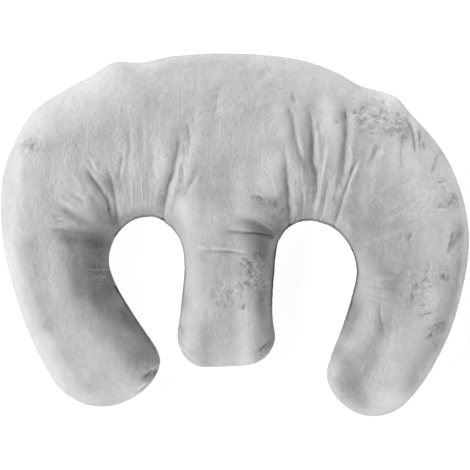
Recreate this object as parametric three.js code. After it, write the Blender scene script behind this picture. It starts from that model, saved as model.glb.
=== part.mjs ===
// A breast support pillow: two plush panels sewn together round the edge and stuffed.
// It lies on its back. x runs across the arms, y towards the band, z up. Millimetres.
import * as THREE from 'three';
import { mergeVertices } from 'three/addons/utils/BufferGeometryUtils.js';

const fullHeight = 128; // crown of the band, where the pillow is fullest
const seamShare = 0.4; // height of the seam, as a share of the crown beside it
const seamInset = 2.5; // how far the stitches draw the seam in
const seamRoll = 5; // degrees of the profile on each side that roll over the stitches
const contactShare = 0.4; // share of a rib, from the seam inwards, where the back comes off the surface
const ribSpacing = 11; // widest mesh step along the seam and the crown
const frontRings = 11; // mesh rings from the crown to the seam
const backRings = 4; // mesh rings from the seam to the surface
const foldHold = 24; // degrees of the profile above the seam over which folds die out
const foldFade = 0.2; // share of a fold's length over which each of its ends fades
const foldSteps = 16; // straight pieces that follow a fold's bow
const shoulder = { height: 0.35, place: 2 }; // beside a fold, in its depths and half widths

// The middle of the band, where the arms and the leg meet.
const bandTop = [-4, 233];
const bandCrown = [-7, 118];
const leftCrotch = [-78, 5];
const rightCrotch = [63, 3];

// Sections across each limb, from its tip to the middle of the band: the seam on its left, its crown,
// the seam on its right, and the fill as a share of the full height. The end is the seam round the
// tip, from right to left.
const leftArm = {
  sections: [
    { left: [-243, -170], crown: [-172, -160], right: [-98, -150], fill: 0.82 },
    { left: [-267, -119], crown: [-196, -112], right: [-125, -109], fill: 0.85 },
    { left: [-284, -68], crown: [-216, -60], right: [-150, -68], fill: 0.88 },
    { left: [-296, -18], crown: [-227, -10], right: [-161, -38], fill: 0.89 },
    { left: [-300, 30], crown: [-226, 36], right: [-159, -18], fill: 0.9 },
    { left: [-297, 76], crown: [-215, 72], right: [-154, -5], fill: 0.91 },
    { left: [-283, 118], crown: [-197, 98], right: [-146, 6], fill: 0.93 },
    { left: [-259, 157], crown: [-174, 114], right: [-136, 15], fill: 0.95 },
    { left: [-221, 184], crown: [-149, 124], right: [-123, 21], fill: 0.97 },
    { left: [-181, 206], crown: [-122, 128], right: [-110, 23], fill: 0.98 },
    { left: [-157, 221], crown: [-104, 129], right: [-102, 22], fill: 0.99 },
    { left: [-120, 221], crown: [-83, 128], right: [-94, 19], fill: 1 },
    { left: [-83, 229], crown: [-61, 125], right: [-87, 14], fill: 1 },
    { left: bandTop, crown: bandCrown, right: leftCrotch, fill: 1 },
  ],
  end: [[-95, -163], [-101, -181], [-121, -203], [-155, -219], [-191, -218], [-223, -199]],
};
const rightArm = {
  sections: [
    { left: [121, -161], crown: [188, -163], right: [255, -168], fill: 0.82 },
    { left: [136, -122], crown: [208, -115], right: [278, -119], fill: 0.85 },
    { left: [149, -81], crown: [223, -64], right: [292, -69], fill: 0.88 },
    { left: [156, -50], crown: [228, -14], right: [300, -21], fill: 0.89 },
    { left: [154, -32], crown: [223, 26], right: [298, 22], fill: 0.9 },
    { left: [149, -19], crown: [210, 55], right: [287, 64], fill: 0.92 },
    { left: [142, -7], crown: [193, 79], right: [268, 105], fill: 0.94 },
    { left: [133, 3], crown: [174, 96], right: [239, 141], fill: 0.96 },
    { left: [125, 9], crown: [159, 105], right: [222, 159], fill: 0.97 },
    { left: [116, 13], crown: [143, 112], right: [208, 176], fill: 0.98 },
    { left: [107, 16], crown: [125, 117], right: [190, 183], fill: 0.99 },
    { left: [97, 18], crown: [107, 120], right: [161, 191], fill: 1 },
    { left: [85, 17], crown: [85, 121], right: [129, 209], fill: 1 },
    { left: [75, 13], crown: [60, 121], right: [90, 223], fill: 1 },
    { left: [68, 8], crown: [30, 119], right: [45, 230], fill: 1 },
    { left: rightCrotch, crown: bandCrown, right: bandTop, fill: 1 },
  ],
  end: [[236, -197], [209, -224], [180, -233], [152, -227], [127, -206], [117, -182]],
};
const leg = {
  sections: [
    { left: [-72, -112], crown: [-11, -108], right: [49, -108], fill: 0.8 },
    { left: [-68, -78], crown: [-9, -76], right: [49, -78], fill: 0.83 },
    { left: [-65, -46], crown: [-7, -42], right: [51, -50], fill: 0.86 },
    { left: [-66, -24], crown: [-7, -12], right: [53, -26], fill: 0.89 },
    { left: [-69, -10], crown: [-7, 18], right: [56, -9], fill: 0.92 },
    { left: [-73, -2], crown: [-7, 58], right: [60, -2], fill: 0.96 },
    { left: leftCrotch, crown: bandCrown, right: rightCrotch, fill: 1 },
  ],
  end: [[52, -133], [45, -151], [26, -165], [-13, -169], [-52, -167], [-69, -150], [-74, -130]],
};

// Folds of the front panel: where each starts and ends, how far its middle bows to the left of that
// way, its half width and its depth. A negative depth is a ridge.
const folds = [
  { from: [-66, 145], to: [-92, 8], bow: 6, width: 9, depth: 7 },
  { from: [-60, 146], to: [-60, 96], bow: -2, width: 8, depth: 3 },
  { from: [-43, 100], to: [-80, 18], bow: 4, width: 8, depth: 4.5 },
  { from: [-16, 198], to: [-30, 132], bow: 3, width: 9, depth: 2.5 },
  { from: [-168, 92], to: [-146, -2], bow: 3, width: 8, depth: 5 },
  { from: [-195, 88], to: [-150, 8], bow: 5, width: 8, depth: 4 },
  { from: [-144, 118], to: [-124, 12], bow: -4, width: 8, depth: 3 },
  { from: [-228, 42], to: [-156, -6], bow: 2, width: 8, depth: 3.5 },
  { from: [-236, 8], to: [-158, -24], bow: 3, width: 9, depth: 2.5 },
  { from: [62, 126], to: [70, 2], bow: 4, width: 9, depth: 5 },
  { from: [62, 176], to: [92, 74], bow: 3, width: 9, depth: 4.5 },
  { from: [94, 174], to: [96, 6], bow: 5, width: 9, depth: 5.5 },
  { from: [141, 178], to: [121, 14], bow: 6, width: 9, depth: 4.5 },
  { from: [168, 106], to: [136, -6], bow: 4, width: 9, depth: 4.5 },
  { from: [214, 162], to: [233, 96], bow: 4, width: 10, depth: 3.5 },
  { from: [268, 112], to: [246, 64], bow: 3, width: 10, depth: 3 },
  { from: [-16, 5], to: [60, -3], bow: 2, width: 8, depth: 4 },
  { from: [-56, -13], to: [18, -24], bow: 2, width: 8, depth: 3 },
  { from: [182, -76], to: [198, -142], bow: 4, width: 10, depth: 3 },
  { from: [121, 114], to: [103, 30], bow: 3, width: 8, depth: -2.5 },
];

// Soft lumps of the filling: middle, radius and height. A negative height is a hollow.
const lumps = [
  { at: [-175, 150], radius: 45, height: 3 },
  { at: [-110, 175], radius: 40, height: -2 },
  { at: [0, 190], radius: 50, height: 2.5 },
  { at: [-5, 75], radius: 38, height: -3 },
  { at: [75, 165], radius: 35, height: 2 },
  { at: [180, 135], radius: 35, height: -3 },
  { at: [262, 20], radius: 45, height: 3 },
  { at: [215, -60], radius: 35, height: 3 },
  { at: [195, -150], radius: 30, height: -2.5 },
  { at: [-255, 40], radius: 45, height: 3 },
  { at: [-225, -90], radius: 35, height: 3 },
  { at: [-150, -165], radius: 28, height: -2.5 },
  { at: [-10, -85], radius: 30, height: 3 },
];

const flat = ([x, y]) => new THREE.Vector3(x, y, 0);
const bell = (x) => Math.exp(-(x ** 2));

// Seam points in one closed loop, each with its limb and the section whose crown it belongs to. Each
// limb adds its right side down to the tip, its end, and its left side back up to the band.
function seamStops() {
  return [rightArm, leg, leftArm].flatMap((limb) => {
    const side = (name) => limb.sections.map((row, section) => ({ limb, section, point: flat(row[name]) }));
    const end = limb.end.map((place) => ({ limb, section: 0, point: flat(place) }));
    return [...side('right').slice(0, -1).reverse(), ...end, ...side('left')];
  });
}

// The top of the filling along a limb, with its height as z.
function crownLine({ sections }) {
  const crowns = sections.map(({ crown: [x, y], fill }) => new THREE.Vector3(x, y, fill * fullHeight));
  return new THREE.CatmullRomCurve3(crowns, false, 'centripetal');
}

// Mesh steps between two neighbouring sections, the same on both sides of the limb.
function stepsBetween(one, other) {
  const gaps = ['left', 'crown', 'right'].map((name) => flat(one[name]).distanceTo(flat(other[name])));
  return Math.ceil(Math.max(...gaps) / ribSpacing);
}

// Ribs from the seam to the crown, once round the pillow. Both sides of a limb share its crown line,
// and the ribs of an end fan out from the crown of the first section.
function makeRibs() {
  const stops = seamStops();
  const seamLine = new THREE.CatmullRomCurve3(stops.map(({ point }) => point), true, 'centripetal');
  return stops.flatMap((stop, i) => {
    const next = stops[(i + 1) % stops.length];
    const { sections } = next.limb;
    const from = stop.limb === next.limb ? stop.section : sections.length - 1;
    const steps = from === next.section
      ? Math.ceil(stop.point.distanceTo(next.point) / ribSpacing)
      : stepsBetween(sections[from], sections[next.section]);
    const crowns = crownLine(next.limb);
    return Array.from({ length: steps }, (_, step) => {
      const share = step / steps;
      const section = THREE.MathUtils.lerp(from, next.section, share);
      return {
        seam: seamLine.getPoint((i + share) / stops.length),
        crown: crowns.getPoint(section / (sections.length - 1)),
      };
    });
  });
}

// Each fold as a line of points across the front panel. The middle of the curve bows half as far as
// its control point.
const foldLines = folds.map(({ from, to, bow, width, depth }) => {
  const start = flat(from);
  const end = flat(to);
  const left = new THREE.Vector3(start.y - end.y, end.x - start.x, 0).setLength(2 * bow);
  const control = start.clone().lerp(end, 0.5).add(left);
  const curve = new THREE.QuadraticBezierCurve3(start, control, end);
  return { line: curve.getPoints(foldSteps), width, depth };
});

// How far a fold lowers a place: a valley between low shoulders, faded towards both ends.
function foldDepth({ line, width, depth }, place) {
  let nearest = { gap: Infinity, along: 0 };
  for (let i = 0; i + 1 < line.length; i += 1) {
    const piece = new THREE.Line3(line[i], line[i + 1]);
    const share = piece.closestPointToPointParameter(place, true);
    const gap = piece.at(share, new THREE.Vector3()).distanceTo(place);
    if (gap < nearest.gap) {
      nearest = { gap, along: (i + share) / (line.length - 1) };
    }
  }
  const { smoothstep } = THREE.MathUtils;
  const fade = smoothstep(nearest.along, 0, foldFade) * smoothstep(1 - nearest.along, 0, foldFade);
  const away = nearest.gap / width;
  const valley = bell(away) - shoulder.height * bell(away - shoulder.place);
  return depth * fade * valley;
}

// Height that lumps and folds add to the smooth front at a place.
function relief(place) {
  const raised = lumps.map(({ at, radius, height }) => height * bell(flat(at).distanceTo(place) / radius));
  const sunk = foldLines.map((fold) => -foldDepth(fold, place));
  return [...raised, ...sunk].reduce((sum, change) => sum + change, 0);
}

// Points down one rib: a quarter ellipse from the crown to the seam, the stitches, a flatter quarter
// ellipse under the seam to the surface, and the middle of the flat back.
function ribPoints({ seam, crown }) {
  const seamHeight = seamShare * crown.z;
  const rise = crown.z - seamHeight;
  const inward = new THREE.Vector3(crown.x - seam.x, crown.y - seam.y, 0);
  const reach = inward.length();
  inward.normalize();
  const ringAngle = (ring, rings) => THREE.MathUtils.degToRad(
    THREE.MathUtils.mapLinear(ring, 0, rings - 1, seamRoll, 90),
  );

  const front = Array.from({ length: frontRings }, (_, ring) => {
    const angle = ringAngle(ring, frontRings);
    const point = seam.clone().addScaledVector(inward, reach * (1 - Math.cos(angle)));
    const lift = relief(point) * THREE.MathUtils.smoothstep(THREE.MathUtils.radToDeg(angle), 0, foldHold);
    const outward = inward.clone().multiplyScalar(-Math.cos(angle) / reach);
    outward.z = Math.sin(angle) / rise;
    point.z = seamHeight + rise * Math.sin(angle);
    return point.addScaledVector(outward.normalize(), lift);
  }).reverse();
  const stitches = seam.clone().addScaledVector(inward, seamInset).setZ(seamHeight);
  const back = Array.from({ length: backRings }, (_, ring) => {
    const angle = ringAngle(ring, backRings);
    const height = seamHeight * (1 - Math.sin(angle));
    return seam.clone().addScaledVector(inward, contactShare * reach * (1 - Math.cos(angle))).setZ(height);
  });
  return [...front, stitches, ...back, crown.clone().setZ(0)];
}

// One closed skin over all the ribs. Each square between two ribs is split along its shorter
// diagonal, and ribs that share a crown point meet there.
function pillowGeometry() {
  const lines = makeRibs().map(ribPoints);
  const depth = lines[0].length;
  const points = lines.flat();
  const corners = lines.flatMap((_, i) => Array.from({ length: depth - 1 }, (__, k) => {
    const here = i * depth + k;
    const beside = ((i + 1) % lines.length) * depth + k;
    const across = points[here].distanceTo(points[beside + 1]);
    const back = points[beside].distanceTo(points[here + 1]);
    return across < back
      ? [here, beside, beside + 1, here, beside + 1, here + 1]
      : [here, beside, here + 1, beside, beside + 1, here + 1];
  })).flat();
  const loose = new THREE.BufferGeometry().setFromPoints(points).setIndex(corners);
  const skin = mergeVertices(loose, 1e-3);

  const index = skin.getIndex().array;
  const kept = [];
  for (let i = 0; i < index.length; i += 3) {
    const [a, b, c] = index.slice(i, i + 3);
    if (a !== b && b !== c && c !== a) {
      kept.push(a, b, c);
    }
  }
  skin.setIndex(kept);
  skin.computeBoundingBox();
  const { min, max } = skin.boundingBox;
  skin.translate(-(min.x + max.x) / 2, -(min.y + max.y) / 2, -min.z);
  skin.computeVertexNormals();
  return skin;
}

const plush = new THREE.MeshStandardMaterial({ color: 0xbdbdbf, roughness: 0.9, metalness: 0 });
const pillow = new THREE.Mesh(pillowGeometry(), plush);
pillow.name = 'pillow';

const part = new THREE.Group();
part.add(pillow);

export default part;
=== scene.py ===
import bmesh
import bpy
import numpy as np
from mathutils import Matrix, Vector, kdtree, noise


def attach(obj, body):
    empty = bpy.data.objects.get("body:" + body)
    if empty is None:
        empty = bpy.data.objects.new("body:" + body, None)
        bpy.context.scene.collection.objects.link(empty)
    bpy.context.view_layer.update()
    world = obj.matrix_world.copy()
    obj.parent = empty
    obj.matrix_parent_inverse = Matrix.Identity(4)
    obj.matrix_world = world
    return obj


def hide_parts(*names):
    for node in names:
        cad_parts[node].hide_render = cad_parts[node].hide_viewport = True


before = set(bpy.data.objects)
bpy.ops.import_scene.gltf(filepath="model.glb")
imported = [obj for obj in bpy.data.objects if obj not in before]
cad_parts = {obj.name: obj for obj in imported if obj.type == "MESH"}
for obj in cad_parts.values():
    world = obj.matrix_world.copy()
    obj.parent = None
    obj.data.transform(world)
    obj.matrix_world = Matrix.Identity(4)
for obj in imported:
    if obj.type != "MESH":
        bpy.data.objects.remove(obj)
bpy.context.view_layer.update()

# A breast support pillow in light grey plush, lying on its back. x runs across the arms and y towards
# the band. Places on its face are written in millimetres and made metres by mm.
mm = 0.001
touching = 0.01 * mm  # places closer than this are one place
scene = bpy.context.scene


# A list of dictionaries, one for each row, whose keys are the names of the columns
def table(columns, rows):
    names = columns.split()
    return [dict(zip(names, row)) for row in rows]


def addObject(name, data):
    added = bpy.data.objects.new(name, data)
    scene.collection.objects.link(added)
    return added


# The camera looks straight down on the face.
shot = {
    "distance": 4.0,  # above the floor
    "seamHeight": 0.05,  # where the width below is measured
    "width": 0.6016,  # what the picture takes in from side to side
    "sensor": 36.0,
}


def makeCamera():
    data = bpy.data.cameras.new("camera")
    data.sensor_width = shot["sensor"]
    data.lens = shot["sensor"] * (shot["distance"] - shot["seamHeight"]) / shot["width"]
    scene.camera = addObject("camera", data)
    scene.camera.location = (0, 0, shot["distance"])


makeCamera()
print("camera ready")


# Small tools for meshes
def readPoints(mesh):
    values = np.empty(len(mesh.vertices) * 3)
    mesh.vertices.foreach_get("co", values)
    return values.reshape(-1, 3)


def readNormals(mesh):
    values = np.empty(len(mesh.vertices) * 3)
    mesh.vertex_normals.foreach_get("vector", values)
    return values.reshape(-1, 3)


def writePoints(mesh, points):
    mesh.vertices.foreach_set("co", points.ravel())
    mesh.update()


def applyModifiers(piece):
    graph = bpy.context.evaluated_depsgraph_get()
    mesh = bpy.data.meshes.new_from_object(piece.evaluated_get(graph))
    piece.modifiers.clear()
    piece.data = mesh


def bell(away):
    return np.exp(-away ** 2)


def ease(value, low, high):
    share = np.clip((value - low) / (high - low), 0, 1)
    return share * share * (3 - 2 * share)


# Smooth noise from -1 to 1, with features about as wide as size. Each seed reads it at another place.
seedStep = (7.3, 3.1, 5.7)


def noiseAt(points, size, seed):
    shift = Vector([seed * step for step in seedStep])
    return np.array([noise.noise(Vector(point) / size + shift) for point in points])


# The stuffed cover: the pillow's solid, remeshed, and blown up like cloth held at its seam
cover = {
    "voxel": 6 * mm,
    "evenSteps": 6,  # passes that take out the solid's flat facets
    "tuck": 3 * mm,  # how far inside the solid the cloth starts
    "pressure": 4.0,
    "frames": 20,
    "mostSwell": 8 * mm,  # how far a point may move
    "seamHeights": (33 * mm, 58 * mm),  # between which the seam runs
    "seamBend": -0.5,  # an edge that bends in by more radians than this is stitched
    "stitchSteps": 12,  # points along each edge of the seam
    "seamHold": 8 * mm,  # how far from the seam the cloth is held
    "floorHold": 1 * mm,  # cloth that lies lower than this is held too
}


def mergedCopy(name):
    bm = bmesh.new()
    bm.from_mesh(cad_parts[name].data)
    bmesh.ops.remove_doubles(bm, verts=bm.verts, dist=touching)
    bmesh.ops.recalc_face_normals(bm, faces=bm.faces)
    return bm


def findSeam(bm):
    low, high = cover["seamHeights"]
    stitches = []
    for edge in bm.edges:
        first, second = (vert.co for vert in edge.verts)
        inBand = low < min(first.z, second.z) and max(first.z, second.z) < high
        if inBand and edge.calc_face_angle_signed(0) < cover["seamBend"]:
            for step in range(cover["stitchSteps"]):
                stitches.append(first.lerp(second, (step + 0.5) / cover["stitchSteps"]))
    tree = kdtree.KDTree(len(stitches))
    for index, place in enumerate(stitches):
        tree.insert(place, index)
    tree.balance()
    return tree


def nearestSeam(points, seam):
    found = [seam.find(point) for point in points]
    places = np.array([place for place, index, gap in found])
    gaps = np.array([gap for place, index, gap in found])
    return places, gaps


def makeCover():
    bm = mergedCopy("pillow")
    seam = findSeam(bm)
    mesh = bpy.data.meshes.new("plushPillow")
    bm.to_mesh(mesh)
    bm.free()
    piece = addObject("plushPillow", mesh)
    remesh = piece.modifiers.new("even cloth", "REMESH")
    remesh.mode = "VOXEL"
    remesh.voxel_size = cover["voxel"]
    smooth = piece.modifiers.new("no facets", "SMOOTH")
    smooth.iterations = cover["evenSteps"]
    applyModifiers(piece)
    print("cover remeshed:", len(piece.data.vertices), "points")
    return piece, seam


def fillCover(piece, seam):
    mesh = piece.data
    start = readPoints(mesh)
    places, gaps = nearestSeam(start, seam)
    onFloor = start[:, 2] < cover["floorHold"]
    held = np.maximum(bell(gaps / cover["seamHold"]), onFloor)
    start -= readNormals(mesh) * cover["tuck"] * (1 - held)[:, None]
    start[:, 2] = np.maximum(start[:, 2], 0)
    writePoints(mesh, start)
    group = piece.vertex_groups.new(name="held")
    for index, weight in enumerate(held):
        group.add([index], float(weight), "REPLACE")
    cloth = piece.modifiers.new("filling", "CLOTH")
    cloth.collision_settings.use_collision = False
    settings = cloth.settings
    settings.use_pressure = True
    settings.uniform_pressure_force = cover["pressure"]
    settings.effector_weights.gravity = 0
    settings.vertex_group_mass = "held"
    for step in range(1, cover["frames"] + 1):
        scene.frame_set(step)
    applyModifiers(piece)
    scene.frame_set(1)
    moved = readPoints(piece.data) - start
    far = np.linalg.norm(moved, axis=1)
    print("filled: moved", round(far.mean() / mm, 2), "mm on average,", round(far.max() / mm, 2), "at most")
    moved *= (cover["mostSwell"] / np.maximum(far, cover["mostSwell"]))[:, None]
    filled = start + moved
    filled[:, 2] = np.maximum(filled[:, 2], 0)
    writePoints(piece.data, filled)
    piece.vertex_groups.clear()


# Creases of the front panel: the way each runs across the face, its half width, its depth, and the
# shares of its length over which it fades in at its start and out at its end. A negative depth is a
# raised ridge.
creases = table("path width depth fadeIn fadeOut", [
    # over the left notch
    ([(-71, 118), (-72, 100), (-76, 82), (-83, 60), (-90, 35), (-94, 4)], 5.4, 4, 0.42, 0.08),
    ([(-60, 137), (-59, 120), (-61, 101)], 2.6, 1.1, 0.3, 0.35),
    ([(-64, 126), (-66, 112), (-68, 96)], 3, -1.1, 0.4, 0.3),
    ([(-52, 94), (-56, 78), (-61, 58)], 5, -1.3, 0.4, 0.3),
    ([(-47, 88), (-52, 70), (-65, 46)], 4, 2.1, 0.5, 0.15),
    ([(-69, 98), (-72, 76), (-75, 54), (-80, 32)], 3.5, -1.3, 0.4, 0.4),
    ([(-65, 98), (-65, 78), (-65, 50)], 2.2, 1.2, 0.3, 0.3),
    ([(-17, 190), (-23, 167), (-27, 140)], 3.5, 0.9, 0.4, 0.4),
    ([(-162, 84), (-157, 70), (-153, 54), (-151, 36), (-149, 8)], 6, 4.2, 0.2, 0.1),
    ([(-192, 92), (-186, 81), (-177, 67), (-169, 57), (-162, 47), (-158, 31), (-152, 6)],
     4.4, 3.3, 0.2, 0.3),
    ([(-184, 54), (-176, 40), (-167, 22)], 7, 2.2, 0.35, 0.3),
    ([(-186, 101), (-179, 85), (-172, 72)], 3, 1.7, 0.4, 0.4),
    ([(-177, 94), (-171, 78)], 2.5, -1.3, 0.4, 0.4),
    ([(-139, 106), (-141, 93), (-145, 79), (-145, 64)], 2.3, 1.4, 0.4, 0.4),
    ([(-137, 114), (-139, 95), (-142, 80), (-143, 60)], 2.2, -1.3, 0.4, 0.4),
    ([(-146, 104), (-147, 94), (-146, 84)], 2.2, -0.8, 0.3, 0.3),
    ([(-206, 82), (-197, 69), (-189, 50)], 4, -2, 0.3, 0.3),
    ([(-212, 50), (-198, 47), (-186, 39)], 4, 2.2, 0.4, 0.3),
    ([(-217, 42), (-198, 33), (-183, 28)], 4, -2, 0.35, 0.3),
    ([(-221, 35), (-208, 28), (-196, 21), (-184, 13), (-168, 5)], 6.5, 3.2, 0.25, 0.4),
    ([(-232, 24), (-224, 22), (-214, 24)], 2.2, 1.3, 0.3, 0.3),
    ([(-230, 20), (-220, 17), (-210, 16)], 3.2, 2.1, 0.4, 0.4),
    ([(-208, 18), (-192, 12)], 3, -1.6, 0.4, 0.4),
    ([(-229, 12), (-206, 11), (-188, 10), (-172, 5)], 3.5, -2, 0.35, 0.2),
    ([(-231, 6), (-212, 4), (-196, 2), (-176, -2)], 6, 3, 0.15, 0.4),
    ([(-133, 152), (-132, 110), (-131, 66)], 3, 0.9, 0.4, 0.3),
    ([(-118, 162), (-116, 120), (-114, 80)], 3, 0.7, 0.4, 0.4),
    ([(-102, 120), (-103, 84), (-103, 50)], 3, 0.8, 0.4, 0.3),
    ([(-183, -44), (-163, -43)], 2, -0.9, 0.4, 0.3),
    ([(-183, -52), (-164, -54)], 2.2, -1.4, 0.3, 0.3),
    ([(-143, -115), (-124, -114)], 2, -0.8, 0.4, 0.3),
    # left rim
    ([(-188, 195), (-210, 183), (-224, 156)], 4, 1.1, 0.4, 0.4),
    ([(-252, 124), (-262, 115), (-268, 104)], 2.6, 1.2, 0.4, 0.4),
    ([(-271, 114), (-264, 121), (-256, 120)], 2, 1.2, 0.3, 0.3),
    ([(-262, 100), (-254, 108), (-247, 118)], 2, 1.1, 0.3, 0.3),
    ([(-278, 106), (-268, 100), (-262, 92)], 2, -1, 0.3, 0.3),
    ([(-274, 30), (-268, -40), (-259, -100), (-238, -145)], 9, 1.2, 0.3, 0.3),
    # over the right notch
    ([(61, 122), (65, 84), (68, 52), (70, 4)], 5.2, 3.6, 0.45, 0),
    ([(66, 168), (71, 152), (74, 134), (78, 114), (83, 98), (88, 82)], 4.6, 2.3, 0.2, 0.3),
    ([(70, 181), (78, 163)], 3, 1.8, 0.4, 0.4),
    ([(90, 167), (96, 147), (98, 118), (98, 98), (99, 84), (102, 68), (102, 48), (96, 30), (92, 6)],
     5.2, 4.2, 0.2, 0.45),
    ([(136, 172), (141, 154), (142, 134), (137, 82), (131, 42)], 6.5, 4.2, 0.2, 0.35),
    ([(157, 100), (149, 82), (142, 66), (136, 46), (124, 4)], 4, 3.4, 0.25, 0.1),
    ([(184, 116), (178, 102), (171, 90)], 5.5, 2.2, 0.4, 0.4),
    ([(174, 118), (169, 99), (161, 84)], 3.2, -1.8, 0.4, 0.4),
    ([(121, 112), (115, 90), (111, 68), (108, 46), (103, 24)], 2.8, -2, 0.3, 0.3),
    ([(161, 98), (150, 76), (140, 55)], 2.6, -1.6, 0.35, 0.3),
    ([(129, 84), (125, 62), (121, 40)], 2.6, -1.6, 0.35, 0.3),
    ([(144, 116), (149, 95)], 2.4, -2.2, 0.4, 0.4),
    ([(129, 145), (130, 136)], 3.2, 1.7, 0.3, 0.3),
    ([(115, 120), (110, 97)], 3.2, 1.2, 0.5, 0.4),
    ([(120, 76), (114, 50), (111, 20)], 2.6, 1.5, 0.35, 0.1),
    ([(125, 102), (121, 80)], 3.2, 1.6, 0.4, 0.4),
    ([(103, 140), (108, 127)], 4, 1.6, 0.4, 0.4),
    ([(84, 66), (86, 42), (85, 6)], 2.6, 1.8, 0.35, 0),
    ([(78, 50), (78, 24)], 2.4, -1.2, 0.4, 0.3),
    # right shoulder and upper arm
    ([(216, 156), (219, 147), (225, 133), (228, 117), (228, 100)], 2.4, 2.7, 0.2, 0.2),
    ([(222, 152), (227, 140), (232, 128), (233, 114)], 1.8, -1.5, 0.3, 0.3),
    ([(230, 134), (235, 131), (235, 122), (234, 106)], 3, 2, 0.2, 0.4),
    ([(239, 118), (240, 109)], 2, 3, 0.1, 0.1),
    ([(147, 153), (152, 154), (155, 158)], 2.8, 2, 0.2, 0.3),
    ([(158, 157), (164, 161), (170, 160)], 2.6, 1.5, 0.3, 0.3),
    ([(184, 171), (190, 168), (193, 160), (201, 157)], 2.6, 1.5, 0.3, 0.4),
    ([(201, 155), (206, 148), (213, 147), (219, 142)], 2.6, 1.5, 0.4, 0.2),
    ([(188, 173), (196, 166), (199, 159), (208, 154)], 2.2, -1, 0.3, 0.4),
    ([(162, 151), (170, 153), (179, 148), (186, 147), (200, 141)], 2.6, 1.5, 0.3, 0.3),
    ([(168, 138), (176, 143), (186, 140)], 2.2, -1.2, 0.3, 0.3),
    ([(178, 157), (188, 154), (198, 149)], 2.2, 1.2, 0.3, 0.3),
    ([(184, 137), (191, 139), (199, 137)], 2.4, 1.4, 0.3, 0.3),
    ([(211, 122), (210, 84), (217, 82)], 2, 1.6, 0.2, 0.2),
    ([(266, 106), (259, 104), (254, 92), (247, 72)], 3.2, 2.5, 0.2, 0.3),
    ([(248, 103), (259, 107)], 2.2, 1.4, 0.3, 0.3),
    ([(180, 23), (200, 34), (218, 41)], 4, -1.3, 0.4, 0.4),
    ([(143, 9), (148, 22)], 3, -0.9, 0.3, 0.4),
    ([(160, -20), (172, -15)], 3, -0.9, 0.3, 0.4),
    # middle leg
    ([(-13, 5), (0, 3), (8, 3), (20, 1), (31, 2), (42, -1), (54, -3)], 2.4, 3.1, 0.15, 0.2),
    ([(2, 7), (14, 6), (24, 5), (36, 4), (46, 0)], 2.2, -1.9, 0.3, 0.3),
    ([(24, 21), (34, 17), (44, 11), (52, 4)], 2.4, -1.5, 0.3, 0.2),
    ([(-46, -17), (-19, -18), (0, -19), (12, -22)], 2.2, -2.6, 0.2, 0.2),
    ([(-24, -21), (0, -23), (12, -25)], 2, 1, 0.35, 0.3),
    ([(21, 45), (25, 49), (32, 48), (37, 43)], 2.4, 2.3, 0.2, 0.3),
    ([(8, -28), (13, -31), (18, -29)], 2.2, 1.6, 0.3, 0.3),
    ([(14, -36), (20, -34), (25, -37)], 2.2, 1.4, 0.3, 0.3),
    ([(3, -57), (8, -63), (13, -73)], 2.5, 2.3, 0.3, 0.3),
    ([(-74, -110), (-68, -113)], 3, 2.2, 0.3, 0.3),
    ([(-66, -124), (-58, -140), (-50, -160)], 3.5, -1.4, 0.3, 0.3),
    ([(48, -130), (39, -142), (28, -152)], 3.4, 2.8, 0.3, 0.3),
    ([(53, -136), (44, -148), (34, -160)], 2.4, -2.8, 0.3, 0.2),
    ([(56, -139), (49, -151), (40, -161)], 2.2, 2.6, 0.3, 0.2),
    ([(13, -88), (11, -95)], 2.8, 3.6, 0.2, 0.2),
    ([(19, -111), (21, -114)], 2.6, 1.8, 0.2, 0.2),
    ([(30, -148), (26, -160)], 3, 1.6, 0.3, 0.3),
    ([(-72, -118), (-68, -142), (-56, -164)], 3.5, 1.8, 0.3, 0.3),
    # right arm
    ([(183, -80), (183, -100), (187, -116), (192, -134)], 2.6, 1.3, 0.3, 0.4),
    ([(166, -82), (182, -84)], 2, 0.9, 0.3, 0.3),
    ([(141, -118), (158, -120)], 2, 0.9, 0.3, 0.3),
    ([(226, -100), (236, -101), (245, -100), (254, -97)], 2.8, 1.9, 0.3, 0.3),
    ([(244, -130), (254, -120), (264, -114), (272, -106)], 6, 2.4, 0.3, 0.3),
    ([(239, -131), (246, -130), (251, -126)], 2.2, 1.8, 0.3, 0.3),
    ([(189, -46), (211, -48)], 2.5, 0.7, 0.4, 0.4),
    ([(238, -26), (246, -35), (246, -45), (238, -52)], 3, 1.6, 0.3, 0.3),
    ([(229, -60), (233, -66)], 2.6, 1.8, 0.3, 0.3),
    ([(263, -47), (266, -58)], 4.5, 2.2, 0.35, 0.35),
    ([(276, -4), (272, -26)], 4, 1.8, 0.3, 0.3),
    ([(220, -74), (226, -76), (225, -83)], 2.2, 2, 0.3, 0.3),
    ([(238, -172), (244, -168)], 2, 1.3, 0.3, 0.3),
    ([(268, -22), (279, -9), (292, 4)], 7.5, 3, 0.3, 0.25),
    ([(268, 34), (276, 44), (285, 52)], 5, 2.6, 0.3, 0.3),
    ([(249, 32), (262, 35), (275, 32)], 2.6, 1.6, 0.35, 0.35),
    ([(257, 68), (268, 67)], 2.4, 1.8, 0.3, 0.3),
    ([(284, 30), (278, 22), (266, 18)], 2.6, -1.4, 0.3, 0.3),
    ([(270, -40), (265, -46)], 2.6, 1.4, 0.3, 0.3),
    ([(182, -128), (163, -155), (144, -181)], 9, 1.4, 0.4, 0.4),
    ([(158, -122), (140, -150), (124, -188)], 7, -1.8, 0.3, 0.3),
    # left arm's tip
    ([(-97, -170), (-108, -178), (-120, -184)], 4.5, 2.8, 0.2, 0.3),
    ([(-98, -166), (-104, -169), (-112, -170)], 2.4, -1.6, 0.2, 0.3),
    ([(-124, -196), (-117, -191)], 2.6, -1.8, 0.3, 0.2),
    ([(-119, -198), (-112, -192)], 2.2, 1.6, 0.3, 0.2),
])

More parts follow.
